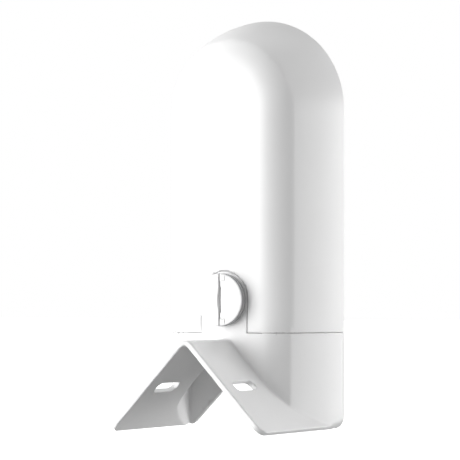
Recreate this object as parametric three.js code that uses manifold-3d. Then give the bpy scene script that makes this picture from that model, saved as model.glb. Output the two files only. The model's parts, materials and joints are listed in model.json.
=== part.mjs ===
// Outdoor weather sensor: an arch-shaped white plastic sensor unit that stands on a saddle bracket.
// The bracket is one moulding: an inverted V with a strap slot in each wing, an open-bottomed skirt
// that carries the unit's outline down onto the wings, and a tongue that rises flush into the back
// of the unit, where a quarter-inch lock screw with a fold-up handle clamps the two together.
//
// Millimetres. +X is to the right along the flat back, +Y runs from the back to the front of the
// unit, and +Z is up. The origin is on the ground under the middle of the whole object.

import * as THREE from "three";
import { mergeVertices } from "three/addons/utils/BufferGeometryUtils.js";
import Module from "manifold-3d";

const wasm = await Module();
wasm.setup();

// ---------------------------------------------------------------- driving dimensions

// Outline of the unit and the skirt, seen from above
const backY = -2; // flat back face
const flatHalf = 14; // half-width of the flat back
const cornerR = 15.1; // rounding between the back and the sides
const creaseTurn = THREE.MathUtils.degToRad(45.4); // the rounding stops at a sharp crease
const rimHalf = 33.6; // half-width at the front rim
const rimY = 27.8;
const sideBulge = 1.1; // how far the flared sides stand out from straight
const frontY = 30; // middle of the crowned front

// Heights
const seamZ = 35.2; // seam between the bracket and the unit
const archZ = 116.5; // centre of the round top
const knobZ = 47.2; // centre of the lock screw

// Gaps
const clear = 0.3; // between neighbouring mouldings, and at the seam
const fit = 0.15; // round a piece in its hole or on its seat
const beyond = 60; // reach of a cutting tool past the part

// Saddle bracket
const nearY = -30; // free end of the wings
const wingHalfAngle = THREE.MathUtils.degToRad(43.4); // each wing, from the vertical
const wingApexZ = 35; // where the outer faces of the wings would meet
const wingThick = 2.1;
const bendInnerR = 2.2;
const skirtWall = 2.1;
const deckThick = 2;
const deckOpening = { half: 24, from: 4, to: 26.4 };
const tongue = { half: 9.5, arcZ: 48 }; // arcZ is the centre of its round top
const slot = { length: 14.5, width: 4.6, y: -16.4, down: 24.4 }; // down the wing from its apex
const footNearR = 4.3; // near bottom corner of each wing
const footFarR = 6;
const footSide = { r: 7.5, z: 6.5 }; // bottom corner of the skirt, seen from the front

// Unit housing
const wall = 2.2;
const rimWall = 1; // the rim that frames the front cover
const mouthY = 25.7; // seat of the front cover's gasket
const gasketThick = 0.9;
const coverThick = 2;
const hook = { from: 27.2, to: 28.6, y: 21.5, half: 3, heights: [60, 100] };
const insert = { r: 4.5, boreR: 3.35, from: backY + 2.9, to: backY + 9.3 };
const lightPipe = { r: 1.5, z: 131, from: 8.6, flangeR: 2.6, flangeThick: 0.8 };

// Lock screw, a quarter-inch thread with 20 turns to the inch; depths are from the flat back
const knob = { r: 9.5, faceY: -3.6, backY: -0.55, edge: 0.5 };
const stud = { r: 3.1, from: -1.2, to: 7.8, tip: 0.8 };
const hubR = 4.2;
const slitHalf = 0.25;
const coinSlot = { half: 0.65, length: 8.3, depth: 1.6 };
const handle = { thick: 1.5, well: 2, lip: 0.8 };
const trunnion = { r: 0.5, from: 6.8, to: 8.1 };
const washer = { r: 7.6, from: -0.45, to: -0.1 };

// Cells: two AA, side by side in front of the lock screw's boss
const cell = { r: 7.1, x: 7.35, y: 17.05, baseZ: 39.5, length: 50.5, nubR: 2.75, nubHeight: 1.4 };
const tray = { half: 15.3, wall: 1.2, backY: 8.6, back: 1.1, sideY: 21, topY: 24, topZ: 95.2, top: 1.8 };
const contact = { thick: 0.4, half: 1.3 };
const lead = { r: 0.6, y: 12 };

// Circuit boards
const board = { y: 5, thick: 1.6, half: 18.5, baseZ: 61, archRise: 3 };
const boardScrewPlaces = [
  [-14.5, 65.5],
  [14.5, 65.5],
  [-12.5, 127],
  [12.5, 127],
];
const boardScrew = { headR: 2, head: 1.2, shankR: 0.95, shank: 5 };
const shield = { half: 8, thick: 2.4, from: 108.5, to: 121 };
const antenna = { arcR: 23, wireR: 0.5, y: 13 };
const sensorBoard = { x: [-21.4, -8.4], y: [3, 8.2], z: [41, 42] };
const sensor = { x: -17.9, y: 5.6, half: 1.25, thick: 0.9 };
const vent = { pitch: 2.4, half: 0.6, reach: 2 };
const button = { x: -11.2, y: 5.6, r: 2.05, holeR: 2.3, travel: 0.5 };
const switchBody = { half: 2.2, thick: 1.2, nub: 0.2 };
const cable = { r: 0.7, x: -17 };

// Battery door in the floor of the unit
const doorPlan = { halfX: 22.5, halfY: 7.05, corner: 0.8, thick: 2.1 };
const seal = { rise: 0.65, thick: 0.8, depth: 0.8, proud: 0.12 };
const doorScrew = { x: 19.3, headR: 1.9, head: 1, rise: 0.3, shankR: 0.95, top: 45 };
const doorBoss = { r: 2.5, from: 39.4, to: 46.4 };

const sides = [-1, 1];
const unitBaseZ = seamZ + clear / 2;
const deckZ = seamZ - clear / 2;
const unitFloorZ = unitBaseZ + wall;
const cellTopZ = cell.baseZ + cell.length;

// ---------------------------------------------------------------- materials

const finish = (color, roughness, metalness = 0) =>
  new THREE.MeshStandardMaterial({ color, roughness, metalness });

const materials = {
  casing: finish(0xf7f7f5, 0.32),
  knob: finish(0xf2f2f0, 0.4),
  rubber: finish(0x2b2c2e, 0.85),
  steel: finish(0xb9bcc0, 0.35, 1),
  brass: finish(0xc9a45a, 0.35, 1),
  tray: finish(0x34363a, 0.6),
  cell: finish(0x3d4148, 0.35, 0.4),
  board: finish(0x1f6b3f, 0.5),
  chip: finish(0x1c1d20, 0.55),
  membrane: finish(0xe6e7e4, 0.9),
  ribbon: finish(0x8a8f96, 0.6),
  redLead: finish(0xb3261e, 0.55),
  blackLead: finish(0x1d1e20, 0.55),
  clear: finish(0xdfe7ea, 0.1),
};

// ---------------------------------------------------------------- solids

// A closed geometry as a solid that booleans can join and cut.
function solid(geometry) {
  const plain = geometry.clone();
  plain.deleteAttribute("normal");
  plain.deleteAttribute("uv");
  const merged = mergeVertices(plain, 1e-4);
  const index = merged.index.array;
  const triangles = [];
  for (let i = 0; i < index.length; i += 3) {
    const [a, b, c] = index.subarray(i, i + 3);
    if (a !== b && b !== c && c !== a) triangles.push(a, b, c);
  }
  return new wasm.Manifold(
    new wasm.Mesh({
      numProp: 3,
      vertProperties: merged.attributes.position.array,
      triVerts: new Uint32Array(triangles),
    }),
  );
}

const join = (...bodies) => bodies.reduce((all, body) => all.add(body));
const cut = (body, ...tools) => tools.reduce((left, tool) => left.subtract(tool), body);

// A named mesh made from a solid.
function piece(name, body, material) {
  const { numProp, vertProperties, triVerts } = body.getMesh();
  const positions = new Float32Array((vertProperties.length / numProp) * 3);
  for (let i = 0; i < positions.length / 3; i++) {
    positions.set(vertProperties.subarray(i * numProp, i * numProp + 3), i * 3);
  }
  const geometry = new THREE.BufferGeometry();
  geometry.setAttribute("position", new THREE.BufferAttribute(positions, 3));
  geometry.setIndex(new THREE.BufferAttribute(triVerts, 1));
  const mesh = new THREE.Mesh(geometry.toNonIndexed(), material);
  mesh.geometry.computeVertexNormals();
  mesh.name = name;
  return mesh;
}

function block([x0, x1], [y0, y1], [z0, z1]) {
  const box = new THREE.BoxGeometry(x1 - x0, y1 - y0, z1 - z0);
  return solid(box.translate((x0 + x1) / 2, (y0 + y1) / 2, (z0 + z1) / 2));
}

// A round bar between two places on an axis, with its centre at (a, b) on the other two.
function bar(axis, r, [from, to], [a, b], sides = 24) {
  const cylinder = new THREE.CylinderGeometry(r, r, to - from, sides);
  const middle = (from + to) / 2;
  if (axis === "x") return solid(cylinder.rotateZ(Math.PI / 2).translate(middle, a, b));
  if (axis === "y") return solid(cylinder.translate(a, middle, b));
  return solid(cylinder.rotateX(Math.PI / 2).translate(a, b, middle));
}

function extrude(shape, depth, curveSegments) {
  return new THREE.ExtrudeGeometry(shape, { depth, bevelEnabled: false, curveSegments });
}

// A shape drawn in X and Y, raised from one height to another.
function prismZ(shape, [from, to], curveSegments = 8) {
  return solid(extrude(shape, to - from, curveSegments).translate(0, 0, from));
}

// A shape drawn in X and Z, carried along Y.
function prismY(shape, [from, to], curveSegments = 8) {
  return solid(extrude(shape, to - from, curveSegments).rotateX(Math.PI / 2).translate(0, to, 0));
}

// A shape drawn in Y and Z, carried along X.
function prismX(shape, [from, to], curveSegments = 8) {
  const turned = extrude(shape, to - from, curveSegments).rotateX(Math.PI / 2);
  return solid(turned.rotateZ(Math.PI / 2).translate(from, 0, 0));
}

// A profile of [radius, height] points turned about the Y axis, or about the Z axis when upright.
function turned(points, { sides = 24, upright = false } = {}) {
  const lathe = new THREE.LatheGeometry(
    points.map(([r, h]) => new THREE.Vector2(r, h)),
    sides,
  );
  return solid(upright ? lathe.rotateX(Math.PI / 2) : lathe);
}

// A round wire along a curve.
function wire(points, r, steps, sides = 8) {
  const section = new THREE.Shape();
  section.absarc(0, 0, r, 0, 2 * Math.PI);
  const extrudePath = new THREE.CatmullRomCurve3(points.map((p) => new THREE.Vector3(...p)));
  return solid(
    new THREE.ExtrudeGeometry(section, {
      steps,
      extrudePath,
      curveSegments: sides / 2,
      bevelEnabled: false,
    }),
  );
}

const shapeOf = (points) => new THREE.Shape(points.map(([x, y]) => new THREE.Vector2(x, y)));

function roundedRectangle(halfX, halfY, r, [x, y] = [0, 0]) {
  const shape = new THREE.Shape();
  shape.absarc(x + halfX - r, y - halfY + r, r, -Math.PI / 2, 0);
  shape.absarc(x + halfX - r, y + halfY - r, r, 0, Math.PI / 2);
  shape.absarc(x - halfX + r, y + halfY - r, r, Math.PI / 2, Math.PI);
  shape.absarc(x - halfX + r, y - halfY + r, r, Math.PI, 1.5 * Math.PI);
  return shape;
}

// A range on one side of the middle.
const onSide = (side, a, b) => [Math.min(side * a, side * b), Math.max(side * a, side * b)];

// The outline of the tongue: straight sides and a round top.
function tombstone(half, baseZ) {
  const shape = new THREE.Shape();
  shape.moveTo(-half, baseZ);
  shape.lineTo(half, baseZ);
  shape.absarc(0, tongue.arcZ, half, 0, Math.PI);
  return shape;
}

// ---------------------------------------------------------------- outline of the unit

const crownR = (rimHalf ** 2 + (frontY - rimY) ** 2) / (2 * (frontY - rimY));
const crownCentre = new THREE.Vector2(0, frontY - crownR);
const cornerCentre = new THREE.Vector2(flatHalf, backY + cornerR);
const crease = new THREE.Vector2(Math.sin(creaseTurn), -Math.cos(creaseTurn))
  .multiplyScalar(cornerR)
  .add(cornerCentre);
const rim = new THREE.Vector2(rimHalf, rimY);
const sideChord = rim.clone().sub(crease);
const sideR = sideChord.lengthSq() / (8 * sideBulge) + sideBulge / 2;
const sideCentre = new THREE.Vector2(-sideChord.y, sideChord.x)
  .setLength(sideR - sideBulge)
  .add(crease.clone().lerp(rim, 0.5));

// Where two circles cross, on the left of the way from a's centre to b's.
function circlesMeet(a, aR, b, bR) {
  const towards = b.clone().sub(a);
  const apart = towards.length();
  towards.divideScalar(apart);
  const along = (apart ** 2 + aR ** 2 - bR ** 2) / (2 * apart);
  const across = new THREE.Vector2(-towards.y, towards.x);
  return a
    .clone()
    .addScaledVector(towards, along)
    .addScaledVector(across, Math.sqrt(aR ** 2 - along ** 2));
}

// Points of an arc about `centre` from one point to another, without the first.
function arcPoints(centre, from, to, steps) {
  const r = from.distanceTo(centre);
  const startAngle = from.clone().sub(centre).angle();
  let sweep = to.clone().sub(centre).angle() - startAngle;
  if (sweep > Math.PI) sweep -= 2 * Math.PI;
  if (sweep < -Math.PI) sweep += 2 * Math.PI;
  return Array.from({ length: steps }, (_, i) => {
    const angle = startAngle + (sweep * (i + 1)) / steps;
    return new THREE.Vector2(Math.cos(angle), Math.sin(angle)).multiplyScalar(r).add(centre);
  });
}

// Right half of the outline, from the middle of the back to the middle of the front. The back and
// the sides move inwards by `side`, and the crowned front by `front`.
function halfOutline(side, front) {
  const flatEnd = new THREE.Vector2(flatHalf, backY + side);
  const cornerEnd = circlesMeet(cornerCentre, cornerR - side, sideCentre, sideR - side);
  const rimEnd = circlesMeet(sideCentre, sideR - side, crownCentre, crownR - front);
  const frontMiddle = new THREE.Vector2(0, frontY - front);
  return [
    new THREE.Vector2(0, backY + side),
    flatEnd,
    ...arcPoints(cornerCentre, flatEnd, cornerEnd, 6),
    ...arcPoints(sideCentre, cornerEnd, rimEnd, 3),
    ...arcPoints(crownCentre, rimEnd, frontMiddle, 5),
  ];
}

// The straight part of the outline, between two heights.
function straightBody(side, front, heights) {
  const right = halfOutline(side, front);
  const left = right.slice(1, -1).reverse().map((p) => new THREE.Vector2(-p.x, p.y));
  return prismZ(new THREE.Shape([...right, ...left]), heights);
}

// The whole arch: the straight part, with the same outline turned about the arch's centre on top.
function archBody(side, front, baseZ) {
  const dome = turned(halfOutline(side, front).map((p) => [p.x, p.y]), { sides: 48 });
  return join(straightBody(side, front, [baseZ, archZ]), dome.translate([0, 0, archZ]));
}

// Everything in front of a plane.
const inFrontOf = (y) => block([-beyond, beyond], [y, beyond], [0, 4 * beyond]);

// ---------------------------------------------------------------- saddle bracket

const wingSin = Math.sin(wingHalfAngle);
const wingCos = Math.cos(wingHalfAngle);
const bendZ = wingApexZ - (bendInnerR + wingThick) / wingSin; // centre of the bend
const footX = (wingApexZ - wingThick / wingSin) * Math.tan(wingHalfAngle); // inner corner of a foot

// The bent sheet in X and Z. Its feet are cut square to the wings.
function wingSection() {
  const shape = new THREE.Shape();
  shape.moveTo(footX, 0);
  shape.lineTo(footX + wingThick * wingCos, wingThick * wingSin);
  shape.absarc(0, bendZ, bendInnerR + wingThick, wingHalfAngle, Math.PI - wingHalfAngle);
  shape.lineTo(-footX - wingThick * wingCos, wingThick * wingSin);
  shape.lineTo(-footX, 0);
  shape.absarc(0, bendZ, bendInnerR, Math.PI - wingHalfAngle, wingHalfAngle, true);
  return shape;
}

// The space under the wings.
function saddleSpace() {
  const shape = new THREE.Shape();
  const drop = 10;
  const halfWidth = footX + drop * Math.tan(wingHalfAngle);
  shape.absarc(0, bendZ, bendInnerR, wingHalfAngle, Math.PI - wingHalfAngle);
  shape.lineTo(-halfWidth, -drop);
  shape.lineTo(halfWidth, -drop);
  return prismY(shape, [-beyond, beyond]);
}

// What the rounded bottom corners leave, seen from the front and from the side.
function bracketEnvelope() {
  const { r, z } = footSide;
  const x = footX - Math.sqrt(r ** 2 - z ** 2);
  const foot = Math.asin(z / r);
  const fromFront = new THREE.Shape();
  fromFront.absarc(x, z, r, -foot, 0);
  fromFront.lineTo(x + r, beyond);
  fromFront.lineTo(-x - r, beyond);
  fromFront.absarc(-x, z, r, Math.PI, Math.PI + foot);
  const fromSide = new THREE.Shape();
  const corner = (y, cornerRadius, start) => {
    const height = cornerRadius * wingCos;
    fromSide.absellipse(y, height, cornerRadius, height, start, start + Math.PI / 2);
  };
  corner(nearY + footNearR, footNearR, Math.PI);
  corner(frontY - footFarR, footFarR, 1.5 * Math.PI);
  fromSide.lineTo(frontY, beyond);
  fromSide.lineTo(nearY, beyond);
  return prismY(fromFront, [-beyond, beyond]).intersect(prismX(fromSide, [-beyond, beyond]));
}

// A strap slot, cut square through a wing. Side is 1 for the right wing and -1 for the left.
function strapSlot(side) {
  const ends = slot.width / 2 - 0.01; // a full half-round would leave no straight end to mesh
  const reach = 3 * wingThick;
  return prismZ(roundedRectangle(slot.width / 2, slot.length / 2, ends), [-reach, reach])
    .rotate([0, side * (90 - THREE.MathUtils.radToDeg(wingHalfAngle)), 0])
    .translate([side * slot.down * wingSin, slot.y, wingApexZ - slot.down * wingCos]);
}

function saddleBracket() {
  const wings = prismY(wingSection(), [nearY, rimY]);
  const skirt = straightBody(0, 0, [-1, deckZ]);
  const hollow = straightBody(skirtWall, skirtWall, [-2, deckZ - deckThick]);
  const opening = block([-deckOpening.half, deckOpening.half], [deckOpening.from, deckOpening.to],
    [deckZ - 2 * deckThick, deckZ + 1]);
  const plate = prismY(tombstone(tongue.half, deckZ - deckThick), [backY, backY + skirtWall]);
  const screwHole = bar("y", hubR + clear, [backY - 1, backY + 2 * skirtWall], [0, knobZ]);
  const moulding = cut(join(skirt, wings), saddleSpace(), hollow, opening);
  const slotted = cut(moulding, ...sides.map(strapSlot)).intersect(bracketEnvelope());
  return piece("saddle_bracket", cut(join(slotted, plate), screwHole), materials.casing);
}

// ---------------------------------------------------------------- lock screw

// Everything of the lock screw is drawn about its own axis: +Y points into the unit, and 0 is the
// flat back of the unit.

const hingeX = slitHalf + handle.thick / 2;
const hingeY = knob.faceY + handle.thick / 2;
const coinSpan = [-coinSlot.length / 2, coinSlot.length / 2];

function lockKnob() {
  const hubEnd = skirtWall - 0.2;
  const disc = turned([
    [0, knob.faceY],
    [knob.r - knob.edge, knob.faceY],
    [knob.r, knob.faceY + knob.edge],
    [knob.r, knob.backY],
    [hubR, knob.backY],
    [hubR, hubEnd],
    [0, hubEnd],
  ], { sides: 48 });
  const wellY = [knob.faceY - 1, knob.faceY + handle.well];
  const well = block([-slitHalf, beyond], wellY, [-beyond, beyond]);
  const lugs = sides.map((side) =>
    block([slitHalf, hingeX + 1.1], [knob.faceY, wellY[1] + 0.2],
      onSide(side, trunnion.from + 0.2, knob.r)));
  const coin = block([-coinSlot.half, 0], [knob.faceY - 1, knob.faceY + coinSlot.depth], coinSpan);
  const studHole = bar("y", stud.r + fit, [stud.from - fit, hubEnd + 1], [0, 0]);
  const pinReach = trunnion.to + 0.2;
  const pinHole = bar("z", trunnion.r + 0.12, [-pinReach, pinReach], [hingeX, hingeY], 16);
  const body = join(cut(disc, well, coin, studHole), ...lugs).intersect(disc);
  return piece("lock_knob", cut(body, pinHole), materials.knob);
}

// Half-round thumb tab that folds flat into the knob, on two trunnions moulded with it.
function flipHandle() {
  const y = [knob.faceY, knob.faceY + handle.thick];
  const plate = bar("y", knob.r - 0.02, y, [0, 0], 48).intersect(
    block([hingeX, beyond], [-beyond, beyond], [-beyond, beyond]),
  );
  const cornerNotches = sides.map((side) =>
    block([-1, hingeX + 1.4], [-beyond, beyond], onSide(side, trunnion.from, beyond)));
  const axis = [hingeX, hingeY];
  const barrel = bar("z", handle.thick / 2, [-trunnion.from, trunnion.from], axis, 16);
  const pins = bar("z", trunnion.r, [-trunnion.to, trunnion.to], axis, 16);
  const coin = block([-1, coinSlot.half], [-beyond, beyond], coinSpan);
  const lip = block([knob.r - 2 * handle.lip, knob.r - handle.lip],
    [knob.faceY - 1, knob.faceY + 0.35], [-3, 3]);
  const body = join(cut(plate, ...cornerNotches), barrel, pins);
  return piece("flip_handle", cut(body, coin, lip), materials.knob);
}

function lockStud() {
  const body = turned([
    [0, stud.from],
    [stud.r, stud.from],
    [stud.r, stud.to - stud.tip],
    [stud.r - 0.7, stud.to],
    [0, stud.to],
  ]);
  return piece("lock_stud", body, materials.steel);
}

function knobWasher() {
  const ring = bar("y", washer.r, [washer.from, washer.to], [0, 0], 32);
  const hole = bar("y", hubR + 0.25, [-1, 1], [0, 0], 32);
  return piece("knob_washer", cut(ring, hole), materials.rubber);
}

// ---------------------------------------------------------------- sensor unit housing

function rearHousing() {
  const shell = cut(archBody(0, 0, unitBaseZ), archBody(wall, -2, unitFloorZ));
  const mouth = archBody(rimWall, -2, unitBaseZ + rimWall).intersect(inFrontOf(mouthY));
  const recessBack = backY + skirtWall + clear;
  const recessOutline = (extra, baseZ) => tombstone(tongue.half + clear + extra, baseZ);
  const recessWall = prismY(recessOutline(2, unitBaseZ), [backY + 0.5, recessBack + 2]);
  const screwBoss = bar("y", insert.r + 1.9, [recessBack + 1, insert.to + 0.8], [0, knobZ]);
  const boardBosses = boardScrewPlaces.map((place) =>
    bar("y", 2.3, [backY + 1, board.y - fit], place, 16));
  const doorBosses = sides.map((side) => {
    const heights = [doorBoss.from, doorBoss.to];
    return join(
      bar("z", doorBoss.r, heights, [side * doorScrew.x, cell.y], 16),
      block(onSide(side, doorScrew.x, 30), [cell.y - 0.8, cell.y + 0.8], heights),
    );
  });
  const solidParts = join(cut(shell, mouth), recessWall, screwBoss, ...boardBosses, ...doorBosses);

  const recess = prismY(recessOutline(0, unitBaseZ - 1), [backY - 1, recessBack]);
  const insertBore = bar("y", insert.r + fit, [backY, insert.to + fit], [0, knobZ]);
  const boardPilots = boardScrewPlaces.map((place) =>
    bar("y", boardScrew.shankR + 0.2, [board.y - 4, board.y + 1], place, 12));
  const doorPilots = sides.map((side) =>
    bar("z", doorScrew.shankR + fit, [doorBoss.from - 1, doorScrew.top + 0.4],
      [side * doorScrew.x, cell.y], 12));
  const floorZ = [unitBaseZ - 1, unitFloorZ + 1];
  const doorwayHalf = [doorPlan.halfX + clear, doorPlan.halfY + clear];
  const doorway = block([-doorwayHalf[0], doorwayHalf[0]],
    [cell.y - doorwayHalf[1], cell.y + doorwayHalf[1]], floorZ);
  const vents = [-1, 0, 1].map((step) => {
    const x = sensor.x + step * vent.pitch;
    return block([x - vent.half, x + vent.half], [sensor.y - vent.reach, sensor.y + vent.reach], floorZ);
  });
  const buttonHole = bar("z", button.holeR, floorZ, [button.x, button.y]);
  const holes = [insertBore, ...boardPilots, ...doorPilots, doorway, ...vents, buttonHole];
  return piece("rear_housing", cut(solidParts, recess, ...holes), materials.casing);
}

const coverSide = rimWall + clear;
const coverBackY = mouthY + gasketThick;

function frontCover() {
  const baseZ = unitBaseZ + coverSide;
  const inside = archBody(coverSide + coverThick, coverThick, baseZ + coverThick);
  const cap = cut(archBody(coverSide, 0, baseZ), inside).intersect(inFrontOf(coverBackY));
  const hooks = hook.heights.flatMap((z) =>
    sides.map((side) =>
      block(onSide(side, hook.from, hook.to), [hook.y, coverBackY + 0.6], [z - hook.half, z + hook.half])));
  const windowHole = bar("y", lightPipe.r + fit, [coverBackY - 5, frontY + 5], [0, lightPipe.z]);
  return piece("front_cover", cut(join(cap, ...hooks), windowHole), materials.casing);
}

function coverGasket() {
  const outer = archBody(rimWall + fit, -2, unitBaseZ + rimWall + fit);
  const inner = archBody(wall - 0.1, -2, unitBaseZ + wall - 0.1);
  const seated = cut(outer, inner).intersect(inFrontOf(mouthY + fit));
  return piece("cover_gasket", cut(seated, inFrontOf(coverBackY - fit)), materials.rubber);
}

function threadedInsert() {
  const sleeve = bar("y", insert.r, [insert.from, insert.to], [0, knobZ], 32);
  const bore = bar("y", insert.boreR, [-beyond, beyond], [0, knobZ], 32);
  return piece("threaded_insert", cut(sleeve, bore), materials.brass);
}

function lightPipeRod() {
  const place = [0, lightPipe.z];
  const rod = bar("y", lightPipe.r, [lightPipe.from, frontY - 0.25], place, 20);
  const flange = bar("y", lightPipe.flangeR, [coverBackY, coverBackY + lightPipe.flangeThick], place, 20);
  return piece("light_pipe", join(rod, flange), materials.clear);
}

// ---------------------------------------------------------------- battery compartment

function batteryTray() {
  const outerHalf = tray.half + tray.wall;
  const height = [cell.baseZ + clear, tray.topZ + tray.top];
  const topZ = [tray.topZ, tray.topZ + tray.top];
  const back = block([-outerHalf, outerHalf], [tray.backY, tray.backY + tray.back], height);
  const walls = sides.map((side) =>
    block(onSide(side, tray.half, outerHalf), [tray.backY, tray.sideY], height));
  const top = block([-outerHalf, outerHalf], [tray.backY, tray.topY], topZ);
  const slotHalf = 1.6;
  const leadSlots = sides.map((side) =>
    block([side * cell.x - slotHalf, side * cell.x + slotHalf],
      [lead.y - 1.4, lead.y + 1.4], [topZ[0] - 1, topZ[1] + 1]));
  return piece("battery_tray", cut(join(back, ...walls, top), ...leadSlots), materials.tray);
}

function batteryCell(name, x) {
  const edge = 0.6;
  const shoulder = cell.length - cell.nubHeight;
  const profile = [
    [0, 0],
    [cell.r - edge, 0],
    [cell.r, edge],
    [cell.r, shoulder - edge],
    [cell.r - edge, shoulder],
    [cell.nubR, shoulder],
    [cell.nubR, cell.length],
    [0, cell.length],
  ];
  const mesh = piece(name, turned(profile, { upright: true }), materials.cell);
  mesh.position.set(x, cell.y, cell.baseZ);
  if (x > 0) {
    // the right-hand cell stands with its flat end up
    mesh.rotation.x = Math.PI;
    mesh.position.z = cellTopZ;
  }
  return mesh;
}

// Sprung leaf that meets the nub of the left-hand cell, with a solder tag through the tray.
function contactLeaf() {
  const { thick, half } = contact;
  const [tagY, foldY, tipY] = [11, 19, 13];
  const upper = tray.topZ - clear;
  const lower = cellTopZ + thick;
  const fold = shapeOf([
    [tagY, upper + 2.6],
    [tagY, upper - thick],
    [foldY, upper - thick],
    [foldY, lower + thick],
    [tipY, lower + thick],
    [tipY, lower],
    [foldY + thick, lower],
    [foldY + thick, upper],
    [tagY + thick, upper],
    [tagY + thick, upper + 2.6],
  ]);
  return piece("contact_leaf", prismX(fold, [-cell.x - half, -cell.x + half]), materials.steel);
}

// Conical spring for the flat end of the right-hand cell.
function contactSpring() {
  const turns = 3.5;
  const steps = 42;
  const low = cellTopZ + 0.7;
  const high = tray.topZ - 0.7;
  const coil = Array.from({ length: steps + 1 }, (_, i) => {
    const t = i / steps;
    const angle = Math.PI / 2 + t * turns * 2 * Math.PI;
    const r = 2.2 + 1.8 * t;
    return [cell.x + r * Math.cos(angle), cell.y + r * Math.sin(angle), low + t * (high - low)];
  });
  return piece("contact_spring", wire(coil, 0.35, 2 * steps), materials.steel);
}

// Lead from a contact's tag, over the tray and back down to the main board.
function batteryLead(name, side, material) {
  const x = side * cell.x;
  const route = [
    [x, lead.y, 98.4],
    [x, lead.y - 0.4, 100.6],
    [x - side * 1.2, 9.6, 103],
    [x - side * 1.6, 8.2, 105.5],
    [x - side * 1.6, 7.4, 106.8],
  ];
  return piece(name, wire(route, lead.r, 12), material);
}

// ---------------------------------------------------------------- battery door

const doorZ = [unitBaseZ, unitBaseZ + doorPlan.thick];
const sealZ = [unitBaseZ + seal.rise, unitBaseZ + seal.rise + seal.thick];
const doorScrewPlaces = sides.map((side) => [side * doorScrew.x, cell.y]);

// The door's outline, grown by `extra`, between two heights.
function doorPlate(extra, heights) {
  const { halfX, halfY, corner } = doorPlan;
  return prismZ(roundedRectangle(halfX + extra, halfY + extra, corner, [0, cell.y]), heights, 3);
}

const widen = ([from, to], by) => [from - by, to + by];

function batteryDoor() {
  const groove = cut(
    doorPlate(2, widen(sealZ, 0.1)),
    doorPlate(-seal.depth - 0.1, widen(sealZ, 0.2)),
  );
  const sinkZ = unitBaseZ + doorScrew.rise + doorScrew.head + 0.1;
  const screwHoles = doorScrewPlaces.flatMap((place) => [
    bar("z", doorScrew.shankR + fit, widen(doorZ, 5), place, 16),
    bar("z", doorScrew.headR + fit, [unitBaseZ - 5, sinkZ], place, 20),
  ]);
  return piece("battery_door", cut(doorPlate(0, doorZ), groove, ...screwHoles), materials.casing);
}

function doorGasket() {
  const body = cut(doorPlate(seal.proud, sealZ), doorPlate(-seal.depth, widen(sealZ, 1)));
  return piece("battery_door_gasket", body, materials.rubber);
}

// Strip that joins the lower ends of the two cells.
function doorContact() {
  const z = doorZ[1] + fit;
  const strip = block([-12, 12], [cell.y - 3, cell.y + 3], [z, z + 0.45]);
  const pads = sides.map((side) => bar("z", 2.2, [z + 0.25, z + 1.15], [side * cell.x, cell.y], 16));
  return piece("door_contact", join(strip, ...pads), materials.steel);
}

// ---------------------------------------------------------------- fasteners

// A cross-head screw, standing on its tip's axis: +Y of the local frame points out of the head.
function screw(name, { headR, head, shankR }, shank) {
  const body = turned([
    [0, -shank],
    [shankR * 0.6, -shank],
    [shankR, -shank + shankR],
    [shankR, 0],
    [headR, 0],
    [headR, head * 0.6],
    [headR * 0.8, head],
    [0, head],
  ], { sides: 16 });
  const depth = [head * 0.4, head + 1];
  const arm = [-headR * 0.6, headR * 0.6];
  const blade = [-0.25, 0.25];
  const cross = join(block(arm, depth, blade), block(blade, depth, arm));
  return piece(name, cut(body, cross), materials.steel);
}

function boardScrewMesh([x, z], index) {
  const mesh = screw(`board_screw_${index + 1}`, boardScrew, boardScrew.shank);
  mesh.position.set(x, board.y + board.thick + fit, z);
  return mesh;
}

function doorScrewMesh([x, y]) {
  const underHead = unitBaseZ + doorScrew.rise + doorScrew.head;
  const name = x < 0 ? "door_screw_left" : "door_screw_right";
  const mesh = screw(name, doorScrew, doorScrew.top - underHead);
  mesh.position.set(x, y, underHead);
  mesh.rotation.x = -Math.PI / 2;
  return mesh;
}

// ---------------------------------------------------------------- electronics

const boardFrontY = board.y + board.thick;

function mainBoard() {
  const { half, baseZ, archRise } = board;
  const shape = new THREE.Shape();
  shape.moveTo(-half, baseZ);
  shape.lineTo(half, baseZ);
  shape.absarc(0, archZ + archRise, half, 0, Math.PI);
  const holes = boardScrewPlaces.map((place) => bar("y", 1.3, [0, 10], place, 12));
  const plate = prismY(shape, [board.y, boardFrontY]);
  return piece("main_circuit_board", cut(plate, ...holes), materials.board);
}

function radioShield() {
  const y = boardFrontY + fit;
  const can = block([-shield.half, shield.half], [y, y + shield.thick], [shield.from, shield.to]);
  return piece("radio_shield", can, materials.steel);
}

// Quarter-wave wire that leaves the board and follows the dome.
function antennaWire() {
  const { arcR, wireR, y } = antenna;
  const arch = Array.from({ length: 9 }, (_, i) => {
    const angle = THREE.MathUtils.degToRad(35 + i * 15);
    return [arcR * Math.cos(angle), y, archZ + arcR * Math.sin(angle)];
  });
  const foot = [
    [15.5, boardFrontY + 0.6, 119.5],
    [16.4, 9, 120.6],
    [17.8, 11.8, 125],
  ];
  return piece("antenna_wire", wire([...foot, ...arch], wireR, 36), materials.steel);
}

function sensorBoardMesh() {
  const { x, y, z } = sensorBoard;
  return piece("sensor_board", block(x, y, z), materials.board);
}

// A square chip under the sensor board.
function chipUnderBoard(name, [x, y], half, thick) {
  const top = sensorBoard.z[0] - 0.1;
  const body = block([x - half, x + half], [y - half, y + half], [top - thick, top]);
  return piece(name, body, materials.chip);
}

function ventMembrane() {
  const patch = roundedRectangle(3.2, 2.4, 1, [sensor.x, sensor.y]);
  return piece("vent_membrane", prismZ(patch, [unitFloorZ + 0.1, unitFloorZ + 0.4]), materials.membrane);
}

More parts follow.
